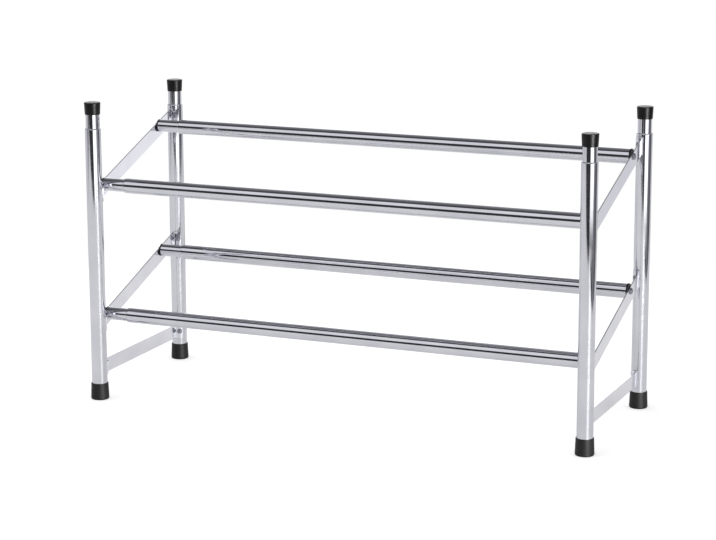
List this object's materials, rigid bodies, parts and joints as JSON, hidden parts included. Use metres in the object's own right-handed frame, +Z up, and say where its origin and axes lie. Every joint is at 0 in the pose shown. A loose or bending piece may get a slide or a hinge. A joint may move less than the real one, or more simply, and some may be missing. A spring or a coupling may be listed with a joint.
{
  "type": "pull out shoe rack",
  "caption": "Two-tier chrome shoe rack: two upright end frames joined by telescopic rails, sloping front to back, so the width pulls out sideways.",
  "frame": {"origin": "floor level, under the middle of the rack at its rest width", "axes": "+X along the rails to the fixed right frame, +Y from front to back, +Z up"},
  "size_m": [0.6402, 0.2342, 0.365],
  "materials": {
    "chromed_tube": "bright chrome plating",
    "chromed_strip": "bright chrome plating on flat strip",
    "black_pvc": "satin black PVC",
    "black_rubber": "moulded black rubber",
    "black_plastic": "moulded black polypropylene",
    "natural_plastic": "natural polyethylene",
    "plated_fastener": "bright zinc plated steel"
  },
  "bodies": {
    "right_frame": {"right_front_post": "chromed_tube", "right_front_foot": "black_rubber", "right_back_post": "chromed_tube", "right_back_foot": "black_rubber", "right_lower_shelf_bar": "chromed_strip", "right_upper_shelf_bar": "chromed_strip", "right_base_brace": "chromed_strip", "right_frame_rivets": "plated_fastener", "right_rail_screws": "plated_fastener", "right_lower_front_end_plug": "black_plastic", "right_lower_back_end_plug": "black_plastic", "right_upper_front_end_plug": "black_plastic", "right_upper_back_end_plug": "black_plastic", "lower_front_outer_rail": "chromed_tube", "lower_front_guide_bush": "natural_plastic", "lower_back_outer_rail": "chromed_tube", "lower_back_guide_bush": "natural_plastic", "upper_front_outer_rail": "chromed_tube", "upper_front_guide_bush": "natural_plastic", "upper_back_outer_rail": "chromed_tube", "upper_back_guide_bush": "natural_plastic"},
    "left_frame": {"left_front_post": "chromed_tube", "left_front_foot": "black_rubber", "left_back_post": "chromed_tube", "left_back_foot": "black_rubber", "left_lower_shelf_bar": "chromed_strip", "left_upper_shelf_bar": "chromed_strip", "left_base_brace": "chromed_strip", "left_frame_rivets": "plated_fastener", "left_rail_screws": "plated_fastener", "left_lower_front_end_plug": "black_plastic", "left_lower_back_end_plug": "black_plastic", "left_upper_front_end_plug": "black_plastic", "left_upper_back_end_plug": "black_plastic", "lower_front_inner_rail": "chromed_tube", "lower_front_stop_plug": "natural_plastic", "lower_back_inner_rail": "chromed_tube", "lower_back_stop_plug": "natural_plastic", "upper_front_inner_rail": "chromed_tube", "upper_front_stop_plug": "natural_plastic", "upper_back_inner_rail": "chromed_tube", "upper_back_stop_plug": "natural_plastic"},
    "left_front_cap": {"left_front_cap": "black_pvc"},
    "left_back_cap": {"left_back_cap": "black_pvc"},
    "right_front_cap": {"right_front_cap": "black_pvc"},
    "right_back_cap": {"right_back_cap": "black_pvc"}
  },
  "joints": [
    {"name": "width_extension", "type": "slide", "parent": "right_frame", "child": "left_frame", "axis": [-1, 0, 0], "range_m": [-0.0297, 0.4804]},
    {"name": "left_front_cap_lift", "type": "slide", "parent": "left_frame", "child": "left_front_cap", "axis": [0, 0, 1], "range_m": [0, 0.03]},
    {"name": "left_back_cap_lift", "type": "slide", "parent": "left_frame", "child": "left_back_cap", "axis": [0, 0, 1], "range_m": [0, 0.03]},
    {"name": "right_front_cap_lift", "type": "slide", "parent": "right_frame", "child": "right_front_cap", "axis": [0, 0, 1], "range_m": [0, 0.03]},
    {"name": "right_back_cap_lift", "type": "slide", "parent": "right_frame", "child": "right_back_cap", "axis": [0, 0, 1], "range_m": [0, 0.03]}
  ]
}
